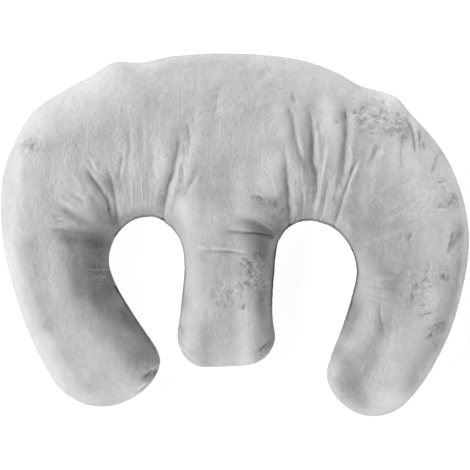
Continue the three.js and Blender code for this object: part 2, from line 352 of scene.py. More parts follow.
# Patches of matted pile, full of short curly marks: middle, half sizes, how many marks, how long they
# are, which way most of them run, in degrees from x, and how deep they are
matted = table("at spread count length turn depth", [
    ((170, 150), (22, 13), 14, 15, -12, 1.1),
    ((204, 134), (14, 15), 12, 15, -50, 1.2),
    ((262, 42), (15, 26), 9, 13, 35, 1.2),
    ((268, -20), (13, 24), 9, 15, 50, 1.2),
    ((244, -60), (20, 22), 9, 12, 60, 0.9),
    ((254, -112), (13, 20), 9, 13, 30, 1.2),
    ((216, -1), (13, 4), 12, 4, 40, 0.45),
    ((26, -48), (13, 24), 14, 9, -50, 1.8),
    ((-18, -80), (15, 17), 22, 5, 45, 1.1),
    ((-262, 114), (14, 14), 10, 7, 40, 1.2),
    ((-168, -30), (14, 24), 10, 12, -55, 1),
    ((-110, -176), (12, 12), 8, 8, 60, 1.3),
    ((100, 20), (30, 7), 14, 9, 88, 0.8),
    ((209, 150), (8, 5), 8, 7, -35, 0.7),
    ((-150, 22), (12, 12), 7, 9, 115, 0.8),
])
mark = {
    "seed": 5,
    "scatter": 0.6,  # how far marks lie from the middle of their patch, in its half sizes
    "stray": 38,  # how far they turn from the patch's way, in degrees
    "halves": (0.3, 0.7),  # half of a mark's length, as a share of the patch's length
    "bend": 0.3,  # how far a mark's middle stands off its ends, as a share of its length
    "widths": (2, 3.6),
    "depths": (0.5, 1.2),  # as shares of the patch's depth
    "fade": 0.3,
}


def mattedMarks():
    draw = np.random.default_rng(mark["seed"])
    marks = []
    for patch in matted:
        for _ in range(patch["count"]):
            middle = np.array(patch["at"]) + draw.normal(0, mark["scatter"], 2) * patch["spread"]
            turn = np.radians(patch["turn"] + draw.normal(0, mark["stray"]))
            half = patch["length"] * draw.uniform(*mark["halves"]) * np.array([np.cos(turn), np.sin(turn)])
            across = 2 * np.array([-half[1], half[0]])  # as long as the mark, and square to it
            bend = mark["bend"] * draw.normal() * across
            marks.append({
                "path": [middle - half, middle + bend, middle + half],
                "width": draw.uniform(*mark["widths"]),
                "depth": patch["depth"] * draw.uniform(*mark["depths"]),
                "fadeIn": mark["fade"],
                "fadeOut": mark["fade"],
            })
    return marks


creases += mattedMarks()

# Broad swells of the filling along the limbs: the way each runs, its half width and its height.
# A negative height is a trough.
swells = table("path width height", [
    ([(0, 12), (20, 17), (38, 12), (52, 4)], 7, -3.2),
    ([(-8, 40), (-12, -20), (-12, -80), (-10, -150)], 20, -3.5),
    ([(30, 20), (28, -60), (26, -140)], 15, 2),
    ([(-52, 40), (-54, -60), (-56, -140)], 14, 1.5),
    ([(188, -60), (184, -110), (172, -160), (158, -215)], 17, -3.5),
    ([(150, -130), (138, -165), (132, -200)], 13, 2),
    ([(212, -80), (206, -130), (196, -180)], 15, 2),
    ([(-240, 60), (-240, -20), (-226, -90), (-190, -150)], 18, -2),
    ([(-205, 20), (-205, -30), (-190, -90), (-150, -150)], 18, 2),
])

# Soft lumps and hollows of the filling: middle, radius and height, all on the front
lumps = table("at radius height", [
    ((-40, -31), 6, -1.2),
    ((9, -33), 5, -1),
    ((21, -33), 5, -1),
    ((-21, -62), 7, -0.8),
    ((262, -52), 4, -1.4),
    ((221, -80), 4, -1),
])

# Cloth gathered into the seam: the middle of each stretch, how far it spreads along the seam, how far
# the small folds reach from it, how wide they are and their depth
gathers = table("at spread reach size depth", [
    ((-115, 18), 42, 34, 9, 2.2),
    ((98, 16), 42, 34, 9, 2.4),
    ((-155, -12), 30, 26, 8, 1.5),
    ((146, -20), 30, 26, 8, 1.2),
    ((40, -160), 22, 16, 8, 1.4),
    ((-62, -160), 20, 14, 8, 1.1),
    ((-104, -178), 30, 16, 9, 1.2),
    ((190, -232), 50, 14, 9, 0.8),
    ((205, 175), 40, 22, 9, 1.3),
    ((-158, 218), 30, 20, 9, 0.9),
])

# Strokes where the pile is painted darker or lighter than the rest: partly nap that lies differently,
# partly painted shade and painted light that the shape and the lamps don't give. The way each stroke runs,
# its half width and tone
strokesOfNapAndShade = table("path width tone", [
    # band
    ([(-130, 112), (-50, 120), (40, 120)], 40, 0.14),
    ([(-130, 196), (-80, 160)], 22, -0.1),
    ([(-150, 27), (-120, 38), (-92, 32)], 11, 0.18),
    ([(-92, 210), (-60, 216), (10, 221)], 12, -0.15),
    ([(-100, 190), (-60, 200), (60, 198)], 16, -0.06),
    ([(24, 38), (34, 66), (46, 92)], 17, 0.24),
    ([(56, 96), (54, 60)], 8, 0.27),
    ([(-72, 141), (-69, 126)], 7, 0.1),
    ([(-60, 137), (-58, 120), (-60, 103)], 2.1, -0.5),
    ([(-72, 116), (-74, 98)], 1.6, -0.3),
    ([(-79, 112), (-78, 92)], 4, -0.1),
    ([(71, 152), (74, 134), (78, 114), (83, 98), (88, 84)], 3, -0.24),
    ([(75, 158), (80, 132), (87, 108)], 3.4, -0.13),
    ([(101, 84), (103, 66), (102, 46)], 3.4, -0.16),
    ([(91, 88), (94, 58)], 4, 0.15),
    ([(-164, 126), (-108, 126)], 10, -0.05),
    ([(-114, 84), (-112, 72)], 8, -0.07),
    ([(-118, 216), (-106, 217)], 9, 0.08),
    ([(56, 156), (58, 128)], 9, 0.2),
    ([(74, 138), (130, 130)], 18, 0.08),
    ([(104, 92), (102, 66)], 7, -0.1),
    ([(6, 78), (7, 54), (10, 26)], 12, 0.22),
    ([(-42, 84), (-41, 30)], 9, -0.12),
    ([(-91, 92), (-92, 66)], 7, 0.2),
    ([(-137, 84), (-139, 66), (-138, 38)], 9, 0.18),
    ([(-17, 88), (-17, 48)], 18, -0.18),
    ([(-80, 100), (-76, 36)], 20, 0.16),
    ([(80, 150), (82, 110)], 8, 0.12),
    ([(116, 164), (126, 120), (128, 56)], 11, 0.33),
    ([(118, 196), (134, 190)], 13, 0.08),
    ([(-66, 148), (-40, 148)], 15, 0.07),
    ([(80, 44), (78, 24)], 9, 0.08),
    ([(127, 138), (130, 96)], 8, 0.15),
    ([(152, 166), (151, 142)], 9, 0.12),
    ([(100, 34), (134, 18)], 11, 0.13),
    ([(172, 150), (176, 88)], 12, 0.22),
    ([(152, 118), (164, 104)], 8, 0.1),
    ([(179, 113), (176, 107)], 3.5, -0.18),
    ([(173, 100), (170, 94)], 3.5, -0.18),
    ([(-178, 190), (-140, 190)], 18, 0.08),
    ([(90, 196), (130, 172)], 18, 0.06),
    ([(194, 130), (206, 136), (215, 133), (213, 124)], 7, -0.34),
    ([(206, 144), (215, 140), (217, 128)], 7, -0.16),
    ([(176, 150), (174, 146)], 9, 0.08),
    ([(227, 152), (229, 140)], 7, 0.17),
    ([(199, 100), (196, 70)], 10, 0.12),
    ([(150, 84), (176, 80)], 9, 0.15),
    ([(80, 126), (80, 104)], 6, 0.1),
    ([(103, 82), (104, 76)], 5, -0.08),
    ([(199, 104), (199, 78)], 8, 0.07),
    ([(176, 126), (176, 120)], 7, 0.07),
    # left arm
    ([(-240, 118), (-200, 124), (-186, 108)], 16, -0.12),
    ([(-256, 110), (-250, 76)], 14, -0.1),
    ([(-178, -8), (-182, -28), (-178, -66), (-152, -108), (-122, -146)], 28, -0.46),
    ([(-184, -48), (-178, -82)], 17, -0.14),
    ([(-215, -4), (-204, -20), (-204, -54), (-199, -74)], 8, -0.22),
    ([(-179, 47), (-173, 33), (-168, 18)], 8, -0.22),
    ([(-187, 62), (-183, 42)], 6, 0.16),
    ([(-188, 14), (-164, 10)], 7, 0.12),
    ([(-234, 106), (-236, 58)], 12, -0.15),
    ([(-184, 112), (-184, 80)], 9, 0.16),
    ([(-141, -98), (-132, -112)], 6, -0.26),
    ([(-141, -122), (-133, -134)], 7, 0.13),
    ([(-236, -120), (-212, -156)], 10, -0.1),
    ([(-236, 158), (-226, 140)], 12, -0.08),
    ([(-158, -4), (-160, -20)], 8, 0.16),
    ([(-161, -50), (-158, -70)], 8, -0.26),
    ([(-186, -92), (-178, -104), (-158, -120)], 10, 0.14),
    ([(-214, -4), (-192, -7), (-164, -12)], 7.5, -0.28),
    ([(-216, 31), (-196, 17)], 5, -0.12),
    ([(-182, -45), (-165, -44)], 1.4, 0.22),
    ([(-180, -53), (-164, -54)], 1.6, 0.3),
    ([(-162, 82), (-157, 60), (-152, 38)], 4, -0.15),
    ([(-168, 84), (-164, 72)], 4, 0.14),
    ([(-185, 78), (-178, 67), (-171, 59)], 3.2, -0.2),
    ([(-150, 74), (-146, 50), (-144, 22)], 4, -0.3),
    ([(-212, 70), (-196, 34)], 28, 0.24),
    ([(-214, 84), (-204, 76)], 9, -0.07),
    ([(-273, 92), (-274, 66), (-270, 44)], 5, 0.1),
    ([(-210, -96), (-206, -112)], 9, 0.07),
    ([(-130, 14), (-148, 42)], 15, 0.31),
    ([(-210, 36), (-180, 32)], 9, 0.06),
    ([(-209, 60), (-208, 52)], 8, -0.07),
    ([(-209, -144), (-207, -152)], 9, -0.06),
    ([(-186, -192), (-184, -198)], 8, -0.08),
    ([(-115, -172), (-113, -166)], 5, 0.12),
    ([(-266, 82), (-268, 60), (-264, 10)], 10, -0.14),
    ([(-289, 100), (-294, 50), (-294, 10)], 9, -0.12),
    ([(-262, -14), (-256, -60), (-240, -112)], 14, -0.32),
    ([(-282, -20), (-274, -60)], 7, 0.1),
    ([(-162, -149), (-138, -195)], 20, 0.38),
    ([(-101, -176), (-114, -184)], 6.5, -0.38),
    ([(-99, -168), (-106, -170)], 2, 0.3),
    ([(-123, -196), (-116, -190)], 1.6, 0.4),
    ([(-120, -199), (-113, -193)], 1.4, -0.3),
    ([(-124, -112), (-111, -132), (-100, -148)], 5, -0.26),
    ([(-134, -126), (-121, -142)], 7, 0.16),
    ([(-188, -124), (-184, -172)], 13, 0.14),
    ([(-212, -152), (-194, -186)], 16, -0.09),
    # middle leg
    ([(8, 19), (22, 14), (34, 9), (48, 2)], 5.5, -0.44),
    ([(28, 40), (38, 44), (50, 38)], 6.5, -0.24),
    ([(-46, -16), (-19, -17), (0, -18), (12, -21)], 1.5, 0.34),
    ([(-38, -20), (0, -22), (18, -26)], 1.5, -0.28),
    ([(42, -146), (33, -156), (28, -161)], 3, -0.2),
    ([(49, -145), (41, -156)], 2, 0.2),
    ([(14, -32), (15, -34)], 2.4, -0.24),
    ([(13, -88), (12, -92)], 2, -0.26),
    ([(31, 36), (33, 26)], 7, 0.08),
    ([(31, 64), (32, 50)], 9, 0.07),
    ([(-42, -31), (-30, -34)], 3.5, -0.12),
    ([(24, -6), (40, -28), (50, -60), (52, -140)], 14, -0.34),
    ([(-66, 36), (-58, -10), (-56, -82), (-62, -138)], 11, 0.22),
    ([(8, -62), (16, -90), (14, -165)], 12, 0.4),
    ([(-39, -122), (-38, -160)], 11, -0.28),
    ([(-67, -140), (-63, -156)], 6, 0.12),
    ([(-42, -26), (-30, -58)], 12, -0.1),
    ([(-18, -6), (-14, -44)], 12, -0.1),
    ([(-66, -76), (-62, -90)], 7, -0.17),
    ([(8, -98), (12, -132)], 10, 0.24),
    ([(34, -8), (33, -20)], 10, -0.24),
    ([(50, 45), (51, 38)], 3.5, -0.3),
    ([(33, 40), (35, 35)], 3.5, -0.12),
    ([(60, 32), (61, 29)], 2, -0.3),
    ([(-70, -116), (-67, -123)], 3, -0.25),
    ([(7, -29), (7, -40)], 7, 0.1),
    ([(50, 2), (53, -28)], 7, -0.16),
    ([(-42, 14), (-40, -14)], 9, -0.1),
    ([(7, 60), (8, -36)], 9, 0.12),
    ([(-18, 40), (-16, 8)], 9, 0.06),
    ([(20, -104), (34, -130)], 9, 0.16),
    ([(56, 16), (58, 0)], 6, -0.14),
    ([(32, -76), (32, -94)], 8, -0.29),
    ([(32, -48), (30, -60)], 8, 0.2),
    ([(50, 20), (58, 4)], 6, -0.2),
    # right arm
    ([(200, 171), (204, 108), (235, 63), (250, 6), (243, -83), (202, -171), (197, -210)], 22, 0.38),
    ([(262, 84), (272, 30), (270, -30)], 14, 0.2),
    ([(158, 30), (172, 0), (184, -40), (196, -70), (196, -104)], 20, -0.28),
    ([(198, -8), (214, -30), (206, -52)], 12, -0.16),
    ([(152, 14), (153, -14)], 8, -0.18),
    ([(168, 38), (188, 30)], 8, -0.12),
    ([(247, 106), (248, 50)], 9, 0.18),
    ([(178, -28), (198, -58)], 12, -0.1),
    ([(157, -70), (152, -106)], 8, -0.14),
    ([(270, 38), (278, 45), (285, 50)], 6, -0.2),
    ([(288, 5), (278, -10)], 6, -0.12),
    ([(285, -36), (282, -64), (275, -96)], 7, -0.2),
    ([(248, -121), (264, -112)], 6, -0.14),
    ([(176, 12), (226, 10)], 9, -0.13),
    ([(228, -8), (226, -40), (222, -84)], 11, -0.17),
    ([(250, -76), (248, -118)], 9, 0.28),
    ([(263, -53), (266, -56)], 3, -0.22),
    ([(238, 38), (252, 30)], 9, 0.09),
    ([(198, -72), (200, -88)], 8, -0.07),
    ([(200, -142), (198, -174)], 9, 0.1),
    ([(225, -166), (220, -192)], 9, -0.06),
    ([(224, 82), (225, 76)], 8, -0.08),
    ([(224, 128), (226, 122)], 7, 0.15),
    ([(272, 16), (271, -28), (271, -56)], 8, 0.09),
    ([(222, -54), (216, -82)], 8, 0.12),
    ([(128, -162), (126, -178)], 7, 0.12),
    ([(152, -144), (152, -150)], 8, 0.08),
    ([(154, -168), (150, -190)], 9, 0.06),
    ([(256, -138), (248, -158)], 8, -0.1),
    ([(224, 84), (224, 30)], 13, 0.18),
    ([(149, -92), (143, -122)], 11, -0.38),
    ([(134, -150), (144, -190), (158, -212)], 14, -0.4),
    ([(180, -216), (204, -206)], 14, 0.14),
    ([(130, -184), (139, -206)], 6, -0.2),
    ([(229, -184), (217, -204)], 7, -0.12),
    ([(180, -116), (173, -156)], 8, -0.1),
    ([(192, -118), (172, -150), (150, -190)], 12, -0.2),
    ([(252, -146), (226, -186)], 12, -0.14),
    ([(286, 10), (288, -20), (276, -82), (262, -138)], 11, -0.16),
])

# Where the pile is crushed and blotchy: middle, radius and share
crushed = table("at radius share", [
    ((176, 146), 28, 1.3),
    ((208, 132), 20, 1.3),
    ((236, 44), 34, 0.7),
    ((216, -2), 12, 0.7),
    ((-18, -80), 22, 0.15),
    ((188, 100), 26, 0.4),
    ((262, 62), 14, 0.7),
    ((275, 46), 12, 0.8),
    ((262, -52), 16, 1),
    ((256, -118), 18, 1),
    ((240, -90), 18, 1.2),
    ((236, -64), 20, 1.3),
    ((272, -13), 18, 0.5),
    ((214, -80), 10, 0.6),
    ((32, 42), 14, 0.8),
    ((26, -52), 24, 1.2),
    ((-106, -172), 12, 0.8),
    ((-262, 112), 16, 0.8),
    ((-172, -30), 26, 0.4),
    ((38, -148), 14, 0.6),
])

# How the tables above become folds, and how the cloth lies at its seam and between its folds
relief = {
    "reach": 6,  # how far out a crease is worked out, in half widths
    "swellReach": 3,  # the same for swells and for the strokes of nap and painted shade
    "crispFrom": (0.3, 0.75),  # depth over half width, where a crease is soft and where it is crisp
    "core": 0.42,  # the share of a crisp crease's depth in its narrow middle
    "coreWidth": 0.35,  # in half widths
    "bank": 0.3,  # height of the cloth beside a crease, in its depths
    "bankShares": (0.65, 0.35),  # the share of it across the light, and how much less the lit side has
    "bankAway": 1.9,  # how far out that cloth stands, in half widths
    "bankWidth": 0.8,
    "ridgeLightNarrowing": 1.2,  # how much narrower than a ridge its painted light is
    "lightFrom": (-0.9, 0.43),
    "lean": 1.5,  # how much wider a crease is towards the light, and narrower away from it
    "uneven": 0.4,  # how much its depth varies along it
    "unevenSize": 16 * mm,
    "unevenSeed": 20,
    "wander": 1.1 * mm,  # how far it strays from its smooth way
    "wanderSize": 14 * mm,
    "wanderSeeds": (31, 32),
    "swellFade": 0.3,  # the share of a swell's length over which it fades at each end
    "valley": (0.12, 0.35),  # how narrow the gathers and puckers are, and how high the cloth between them
    "gatherDrift": (3 * mm, 30 * mm, 4),  # how far they stray, over what size, and the seed
    "gatherFall": 1.5,  # how sharply they end at their reach
    "gatherBack": 0.6,  # the share of them on the back panel
    "gatherLeast": 0.02,  # a share too faint to work out
    "gatherSeed": 10,
    "frontFrom": 30 * mm,  # heights between which the front panel's creases come in
    "frontTo": 50 * mm,
    "wallShare": 0.06,  # of a crease's depth that is left on the upright wall at the seam
    "wallTop": 88 * mm,
    "steep": (0.12, 0.6),  # how far up the cloth faces where creases come in and where they are full
    "outlineHold": 9 * mm,  # how far up and down the wall is trued to the seam
    "brim": 2.6 * mm,  # how far the filling pushes the wall out past its stitches
    "coreShadeDepth": 3.5,  # a crease this deep gets its full painted shade along its core, in millimetres
    "shadeLineWidth": 1.3 * mm,
    "foldShadeTone": 0.17,  # how much darker a fold is painted, as painted shade, and how much lighter a ridge, as painted light
    "groove": 2.2 * mm,  # how deep the stitches sit
    "grooveWidth": 2.6 * mm,
    "puckerDepth": 0.5 * mm,
    "puckerReach": 9 * mm,
    "puckerSize": 7 * mm,
    "puckerSeed": 2,
    "filling": (1.3 * mm, 48 * mm, 1),  # height, size and seed of the filling's own unevenness
    "dimples": (0.4 * mm, 17 * mm, 6),
    "pile": (0.12 * mm, 7 * mm, 8),
    "offFloor": (0.5 * mm, 12 * mm),  # heights between which these three come in
}


# A smooth line along a path. Each pass cuts the corners.
softening = {"passes": 3, "cut": 0.25}  # the share of each step that is cut off at both its ends


def softLine(path):
    points = np.array(path, float) * mm
    cut = softening["cut"]
    for _ in range(softening["passes"]):
        early = (1 - cut) * points[:-1] + cut * points[1:]
        late = cut * points[:-1] + (1 - cut) * points[1:]
        corners = np.stack([early, late], axis=1).reshape(-1, 2)
        points = np.vstack([points[:1], corners, points[-1:]])
    return points


# How each place lies to a line: its distance, the share of the line's length at the nearest point, and
# how far it is on the side that the light comes from, from -1 to 1
def besideLine(places, line):
    steps = np.diff(line, axis=0)
    lengths = np.linalg.norm(steps, axis=1)
    before = np.concatenate([[0], np.cumsum(lengths)[:-1]])
    gaps = np.full(len(places), np.inf)
    along = np.zeros(len(places))
    apart = np.zeros((len(places), 2))
    for start, step, length, done in zip(line, steps, lengths, before):
        share = np.clip((places - start) @ step / length ** 2, 0, 1)
        offset = places - start - share[:, None] * step
        gap = np.linalg.norm(offset, axis=1)
        closer = gap < gaps
        gaps[closer] = gap[closer]
        apart[closer] = offset[closer]
        along[closer] = (done + share[closer] * length) / lengths.sum()
    lit = np.clip(apart @ np.array(relief["lightFrom"]) / np.maximum(gaps, touching), -1, 1)
    return gaps, along, lit


def around(places, line, margin):
    return ((places > line.min(0) - margin) & (places < line.max(0) + margin)).all(axis=1)


def fadeEnds(along, fadeIn, fadeOut):
    rise = ease(along, 0, fadeIn) if fadeIn else 1
    fall = ease(1 - along, 0, fadeOut) if fadeOut else 1
    return rise * fall


def wanderAt(points):
    return np.stack([noiseAt(points, relief["wanderSize"], seed) for seed in relief["wanderSeeds"]], axis=1)


# How far places are from a middle, in its radii
def awayFrom(places, middle, radius):
    return np.linalg.norm(places - np.array(middle) * mm, axis=1) / (radius * mm)


# Heights that the creases give, the painted shade along their narrow cores, and the painted shade in their
# folds and painted light on their ridges
def creaseCloth(points):
    places = points[:, :2] + relief["wander"] * wanderAt(points)
    heights = np.zeros(len(places))
    coreShade = np.zeros(len(places))
    foldShade = np.zeros(len(places))
    even, lessLit = relief["bankShares"]
    for index, crease in enumerate(creases):
        line = softLine(crease["path"])
        width = crease["width"] * mm
        inside = around(places, line, relief["reach"] * width)
        gaps, along, lit = besideLine(places[inside], line)
        fade = fadeEnds(along, crease["fadeIn"], crease["fadeOut"])
        lean = relief["lean"] if crease["depth"] > 0 else 1
        away = gaps / width / lean ** lit
        crisp = ease(abs(crease["depth"]) / crease["width"], *relief["crispFrom"])
        bank = relief["bank"] * (even - lessLit * lit)
        bank = bank * bell((away - relief["bankAway"]) / relief["bankWidth"])
        core = relief["core"] * crisp
        valley = (1 - core) * bell(away) + core * bell(away / relief["coreWidth"]) - bank
        seed = relief["unevenSeed"] + index
        uneven = 1 + relief["uneven"] * noiseAt(points[inside], relief["unevenSize"], seed)
        heights[inside] -= crease["depth"] * mm * valley * fade * uneven
        deep = min(abs(crease["depth"]) / relief["coreShadeDepth"], 1) * fade * uneven
        if crease["depth"] > 0:
            # painted shade along the narrow core of a crisp crease
            coreShading = deep * crisp * bell(gaps / relief["shadeLineWidth"])
            coreShade[inside] = np.maximum(coreShade[inside], coreShading)
            # painted shade in the fold, stronger on the flank nearer the light, which faces away from it
            foldShade[inside] = np.maximum(foldShade[inside], deep * bell(away) * (0.5 + 0.5 * lit))
        else:
            # painted light along a ridge
            foldShade[inside] -= deep * bell(away * relief["ridgeLightNarrowing"])
    for swell in swells:
        line = softLine(swell["path"])
        width = swell["width"] * mm
        inside = around(places, line, relief["swellReach"] * width)
        gaps, along, lit = besideLine(places[inside], line)
        fade = fadeEnds(along, relief["swellFade"], relief["swellFade"])
        heights[inside] += swell["height"] * mm * bell(gaps / width) * fade
    for lump in lumps:
        heights += lump["height"] * mm * bell(awayFrom(places, lump["at"], lump["radius"]))
    return heights, coreShade, foldShade


# Narrow valleys that run straight away from the seam, where noise along the seam crosses zero
def narrowFolds(seamPlaces, size, seed):
    narrow, between = relief["valley"]
    wave = np.abs(noiseAt(seamPlaces, size, seed))
    return np.exp(-wave / narrow) - between


def gatherHeights(points, seamPlaces, gaps, front):
    farthest, size, driftSeed = relief["gatherDrift"]
    drift = noiseAt(points, size, driftSeed)[:, None] * farthest
    panel = np.where(front, 1, relief["gatherBack"])
    heights = np.zeros(len(points))
    for index, gather in enumerate(gathers):
        reach = gather["reach"] * mm
        away = awayFrom(seamPlaces[:, :2], gather["at"], gather["spread"])
        strength = bell(away) * np.exp(-(gaps / reach) ** relief["gatherFall"]) * panel
        there = strength > relief["gatherLeast"]
        seed = relief["gatherSeed"] + index
        folds = narrowFolds(seamPlaces[there] + drift[there], gather["size"] * mm, seed)
        heights[there] -= gather["depth"] * mm * strength[there] * folds
    return heights


def crushedPile(points):
    crush = np.zeros(len(points))
    for patch in crushed:
        share = patch["share"] * bell(awayFrom(points[:, :2], patch["at"], patch["radius"]))
        crush = np.maximum(crush, share)
    return crush


# Tones of the strokes of nap, painted shade and painted light, summed at each point
def toneOfNapAndShade(points):
    tones = np.zeros(len(points))
    for napAndShade in strokesOfNapAndShade:
        line = softLine(napAndShade["path"])
        width = napAndShade["width"] * mm
        inside = around(points[:, :2], line, relief["swellReach"] * width)
        gaps, along, lit = besideLine(points[inside, :2], line)
        tones[inside] += napAndShade["tone"] * bell(gaps / width)
    return tones


# The line of shade where the cloth turns down into the notches
notchLine = {
    "sides": (-154 * mm, 165 * mm),  # how far left and right the notches reach
    "top": 60 * mm,  # they lie below this
    "full": -50 * mm,  # the line is full above this
    "gone": -150 * mm,  # and gone below this
    "width": 1 * mm,
    "tone": -0.85,
}


def notchEdges(points, normals, seamPlaces):
    left, right = notchLine["sides"]
    x, y = seamPlaces[:, 0], seamPlaces[:, 1]
    between = (x > left) & (x < right) & (y < notchLine["top"])
    strength = ease(y, notchLine["gone"], notchLine["full"]) * between
    apart = points[:, :2] - seamPlaces[:, :2]
    away = np.linalg.norm(apart, axis=1)
    beyond = ((apart * normals[:, :2]).sum(axis=1) > 0) & (away < relief["outlineHold"])
    away[beyond] = 0
    return notchLine["tone"] * strength * bell(away / notchLine["width"])


# Patches where the pile is combed into fine streaks: middle, half length along the streaks and half
# width across them, the place that the streaks fan out from, their share, their width, and how many
# times longer than wide they are. Where patches meet, the stronger one holds.
streaks = table("at reach from share width long", [
    ((-124, 46), (48, 36), (-120, -90), 1.35, 3.8, 12),
    ((-190, 36), (36, 40), (-138, -8), 1.1, 5.5, 12),
    ((98, 52), (50, 42), (92, -120), 1.2, 3.6, 12),
    ((196, 22), (46, 52), (118, -22), 0.9, 8, 12),
    ((20, 22), (30, 24), (90, 0), 0.8, 4, 12),
    ((-172, -50), (24, 34), (-60, -56), 0.7, 4, 12),
    ((190, -66), (30, 30), (80, -50), 0.8, 6, 12),
    ((40, -84), (20, 44), (140, -66), 0.5, 4, 12),
    ((284, -66), (60, 14), (270, -300), 0.9, 4, 12),
    ((44, -148), (26, 16), (-30, -225), 1.8, 3.2, 10),
    ((-66, -148), (22, 14), (10, -215), 1.2, 4, 12),
    ((-60, 150), (70, 90), (-60, -200), 0.3, 5, 12),
    ((170, 151), (24, 13), (60, 176), 1.6, 2.6, 4),
    ((200, 139), (20, 12), (130, 212), 1.6, 2.4, 5),
    ((199, 164), (22, 8), (95, 224), 1.9, 2.4, 9),
    ((262, 42), (24, 14), (200, -20), 0.9, 4, 2.5),
    ((270, -16), (24, 14), (190, -110), 1, 4.5, 2.5),
    ((246, -60), (22, 18), (200, -140), 1.3, 3, 2),
    ((254, -114), (20, 14), (170, -170), 1, 3.5, 3),
    ((-18, -80), (16, 20), (-100, -160), 1.2, 2.6, 1.4),
    ((24, -46), (14, 22), (-60, 50), 0.9, 3.2, 2),
    ((-262, 112), (18, 12), (-330, 44), 1, 3, 3),
])


def addShares(mesh, name, values):
    shares = mesh.attributes.new(name, "FLOAT", "POINT")
    shares.data.foreach_set("value", values.astype(np.float32))


streakStep = 10  # how far apart two patches read their noise


# Leaves each point's place along and across the streaks for the material to read
def streakWays(mesh, points, front):
    ways = np.zeros((len(points), 3))
    shares = np.zeros(len(points))
    for index, patch in enumerate(streaks):
        root = np.array(patch["from"]) * mm
        middle = np.array(patch["at"]) * mm - root
        far = np.linalg.norm(middle)
        apart = points[:, :2] - root
        along = np.linalg.norm(apart, axis=1)
        ahead = apart @ middle / far
        aside = (apart[:, 1] * middle[0] - apart[:, 0] * middle[1]) / far
        across = np.arctan2(aside, ahead) * far
        long, wide = patch["reach"]
        share = patch["share"] * bell(np.hypot((along - far) / (long * mm), across / (wide * mm)))
        closer = share > shares
        shares[closer] = share[closer]
        size = patch["width"] * mm
        level = np.full(len(points), index * streakStep)
        stretched = np.stack([across / size, along / patch["long"] / size, level], axis=1)
        ways[closer] = stretched[closer]
    addShares(mesh, "streak", shares * front)
    combed = mesh.attributes.new("combed", "FLOAT_VECTOR", "POINT")
    combed.data.foreach_set("vector", ways.astype(np.float32).ravel())


# Brings the wall beside the seam out to the seam's own outline
def trueOutline(points, seamPlaces, gaps):
    hold = bell(gaps / relief["outlineHold"])[:, None]
    points[:, :2] += (seamPlaces[:, :2] - points[:, :2]) * hold


def shapeCover(piece, seam):
    mesh = piece.data
    points = readPoints(mesh)
    normals = readNormals(mesh)
    seamPlaces, gaps = nearestSeam(points, seam)
    trueOutline(points, seamPlaces, gaps)
    front = ease(points[:, 2], relief["frontFrom"], relief["frontTo"])
    top = ease(points[:, 2], relief["frontFrom"], relief["wallTop"])
    wall = relief["wallShare"] + (1 - relief["wallShare"]) * top
    heights, coreShade, foldShade = creaseCloth(points)
    upward = front * ease(normals[:, 2], *relief["steep"])
    heights *= wall * upward
    # painted shade along the crease cores and in a narrow line along the seam
    addShares(mesh, "coreShade", np.maximum(coreShade * upward, bell(gaps / relief["shadeLineWidth"])))
    addShares(mesh, "crush", crushedPile(points) * front)
    # The pile's tones: nap strokes that are partly painted shade and painted light, painted shade in folds,
    # painted light on ridges, and the painted line of shade into the notches
    tones = toneOfNapAndShade(points) * front - relief["foldShadeTone"] * foldShade * upward
    addShares(mesh, "napAndShade", tones + notchEdges(points, normals, seamPlaces))
    streakWays(mesh, points, front)
    heights += gatherHeights(points, seamPlaces, gaps, front > 0.5) * wall
    heights += relief["brim"] * bell(gaps / relief["outlineHold"])
    heights -= relief["groove"] * bell(gaps / relief["grooveWidth"])
    puckers = narrowFolds(seamPlaces, relief["puckerSize"], relief["puckerSeed"])
    heights -= relief["puckerDepth"] * puckers * np.exp(-gaps / relief["puckerReach"])
    offFloor = ease(points[:, 2], *relief["offFloor"])
    loose = offFloor * (1 - bell(gaps / relief["outlineHold"]))
    for layer, share in (("filling", loose), ("dimples", loose), ("pile", offFloor)):
        height, size, seed = relief[layer]
        heights += height * noiseAt(points, size, seed) * share
    points += normals * heights[:, None]
    points[:, 2] = np.maximum(points[:, 2], 0)
    writePoints(mesh, points)


# Where the mesh has to be finer
detail = {
    "above": 30 * mm,  # everything above this height is divided once
    "beside": 1.25,  # half widths beside a crease that are divided again
    "nearSeam": 3 * mm,  # so is everything closer to the seam than this
    "evened": 0.5,  # how far new points are drawn to their neighbours
}


def divide(piece, wanted):
    bm = bmesh.new()
    bm.from_mesh(piece.data)
    bm.verts.ensure_lookup_table()
    edges = [edge for edge in bm.edges if wanted[edge.verts[0].index] and wanted[edge.verts[1].index]]
    chosen = {vert for edge in edges for vert in edge.verts}
    made = bmesh.ops.subdivide_edges(bm, edges=edges, cuts=1, use_grid_fill=True)
    chosen.update(item for item in made["geom_inner"] if isinstance(item, bmesh.types.BMVert))
    kept = [vert for vert in chosen if vert.is_valid]
    axes = {"use_axis_x": True, "use_axis_y": True, "use_axis_z": True}
    bmesh.ops.smooth_vert(bm, verts=kept, factor=detail["evened"], **axes)
    bm.to_mesh(piece.data)
    bm.free()


def divideCover(piece, seam):
    points = readPoints(piece.data)
    divide(piece, points[:, 2] > detail["above"])
    points = readPoints(piece.data)
    seamPlaces, gaps = nearestSeam(points, seam)
    fine = gaps < detail["nearSeam"]
    for crease in creases:
        line = softLine(crease["path"])
        margin = detail["beside"] * crease["width"] * mm
        inside = around(points[:, :2], line, margin) & (points[:, 2] > relief["frontTo"])
        beside, along, lit = besideLine(points[inside, :2], line)
        fine[inside] |= beside < margin
    divide(piece, fine)
    triangles = sum(len(polygon.vertices) - 2 for polygon in piece.data.polygons)
    print("divided:", triangles, "triangles")


pillow, seam = makeCover()
fillCover(pillow, seam)
divideCover(pillow, seam)
shapeCover(pillow, seam)
print("cover shaped")

